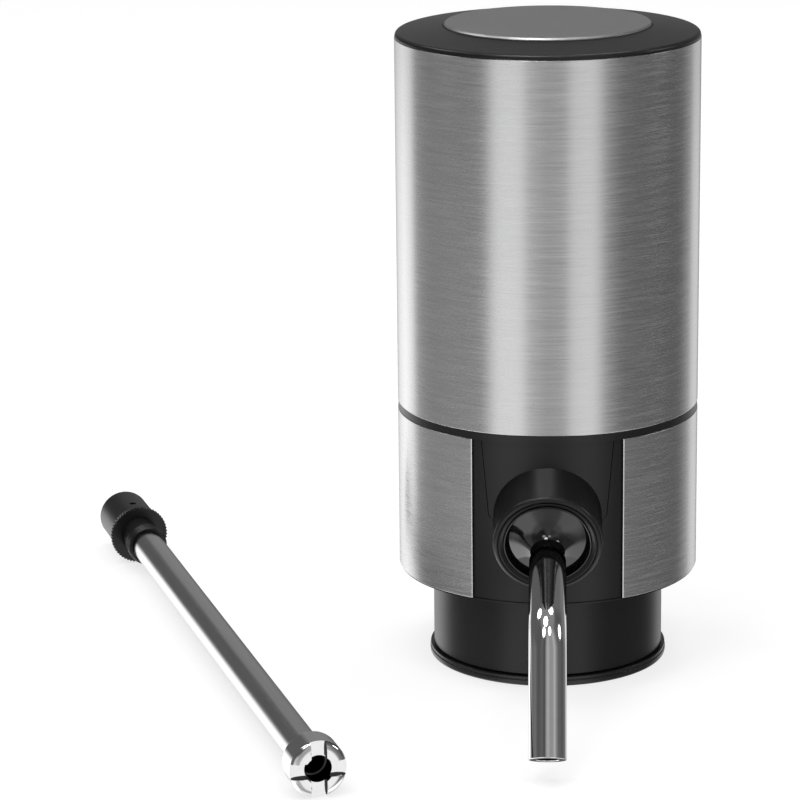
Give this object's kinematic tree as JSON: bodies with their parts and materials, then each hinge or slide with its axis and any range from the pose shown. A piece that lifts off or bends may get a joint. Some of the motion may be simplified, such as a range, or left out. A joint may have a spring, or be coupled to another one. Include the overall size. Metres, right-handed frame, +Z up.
{
  "type": "electric wine dispenser",
  "caption": "Upright brushed-steel electric wine dispenser with a top button, a bent chrome spout, a bottle collar below and a loose telescopic dip tube beside it.",
  "frame": {"origin": "on the body's axis, in the plane that the collar's rim stands on", "axes": "+Z up along the body's axis, the spout points to -Y, +X to the right as seen from the spout's side"},
  "size_m": [0.1538, 0.1876, 0.1525],
  "materials": {
    "brushed_steel": "brushed",
    "satin_steel": "satin",
    "chrome": "polished",
    "grey_metal": "bead blasted",
    "black_plastic": "fine grain",
    "gloss_black": "polished",
    "dark_rim": "satin",
    "grey_silicone": "matt",
    "clear_hose": "matt",
    "inner_plastic": "moulded",
    "white_plastic": "moulded",
    "green_board": "lacquered",
    "chip_black": "moulded",
    "zinc_steel": "zinc plated",
    "spring_steel": "drawn wire",
    "magnet": "sintered",
    "copper_winding": "enamelled",
    "cell_wrap": "shrink wrap",
    "foam": "foam",
    "red_rubber": "matt",
    "blue_plastic": "moulded"
  },
  "bodies": {
    "dispenser": {"upper_sleeve": "brushed_steel", "top_cap": "black_plastic", "button_spring": "spring_steel", "tact_switch": "chip_black", "control_board": "green_board", "board_chips": "chip_black", "board_screws": "zinc_steel", "chassis": "inner_plastic", "battery_cell": "cell_wrap", "battery_pad": "foam", "motor_can": "zinc_steel", "motor_end_cap": "white_plastic", "motor_magnets": "magnet", "wobble_plate": "white_plastic", "pump_body": "inner_plastic", "pump_diaphragm": "red_rubber", "pump_cover": "inner_plastic", "pump_screws": "zinc_steel", "frame_screws": "zinc_steel", "charge_board": "green_board", "usb_socket": "zinc_steel", "port_bezel": "black_plastic", "deck_plate": "black_plastic", "lower_housing": "black_plastic", "skirt_wrap": "brushed_steel", "spout_housing": "black_plastic", "spout_funnel": "gloss_black", "wine_hose": "clear_hose", "air_hose": "clear_hose", "vent_hose": "clear_hose", "vent_valve": "blue_plastic", "inlet_socket": "white_plastic", "inlet_gasket": "grey_silicone", "collar": "black_plastic", "collar_screws": "zinc_steel", "rim_ring": "dark_rim", "bottle_seal": "grey_silicone"},
    "button": {"button_disc": "grey_metal", "button_carrier": "inner_plastic", "switch_plunger": "white_plastic"},
    "rotor": {"motor_armature": "copper_winding", "motor_shaft": "spring_steel", "pump_crank": "white_plastic"},
    "valve_pin": {"valve_plunger": "zinc_steel"},
    "spout_sleeve": {"spout_bush": "grey_silicone"},
    "spout": {"spout_tube": "chrome"},
    "dip_tube": {"connector_plug": "black_plastic", "connector_flange": "black_plastic", "connector_neck": "black_plastic", "outer_tube": "satin_steel", "tube_bush": "grey_silicone"},
    "dip_tube_inner": {"inner_tube": "satin_steel", "inner_stop": "inner_plastic", "tube_foot": "chrome"}
  },
  "joints": [
    {"name": "button_press", "type": "slide", "parent": "dispenser", "child": "button", "axis": [0, 0, -1], "range_m": [0, 0.0008], "stiffness_N_per_m": 600, "springref_m": -0.002, "deforming": ["button_spring"]},
    {"name": "motor_spin", "type": "hinge", "parent": "dispenser", "child": "rotor", "pos_m": [-0.0137, 0, 0.1], "axis": [0, 0, 1], "continuous": true},
    {"name": "valve_press", "type": "slide", "parent": "dispenser", "child": "valve_pin", "axis": [0, 0, -1], "range_m": [0, 0.001], "stiffness_N_per_m": 300, "springref_m": -0.002},
    {"name": "spout_pull", "type": "slide", "parent": "dispenser", "child": "spout_sleeve", "axis": [0, -0.9622, -0.2723], "range_m": [0, 0.008]},
    {"name": "spout_swivel", "type": "hinge", "parent": "spout_sleeve", "child": "spout", "pos_m": [0, -0.0442, 0.0396], "axis": [0, -0.9622, -0.2723], "continuous": true},
    {"name": "tube_lift", "type": "slide", "parent": "dispenser", "child": "dip_tube", "axis": [0, 0, 1], "range_m": [0, 0.16]},
    {"name": "tube_extend", "type": "slide", "parent": "dip_tube", "child": "dip_tube_inner", "axis": [0.3256, -0.9455, -0.006], "range_m": [0, 0.11]}
  ]
}
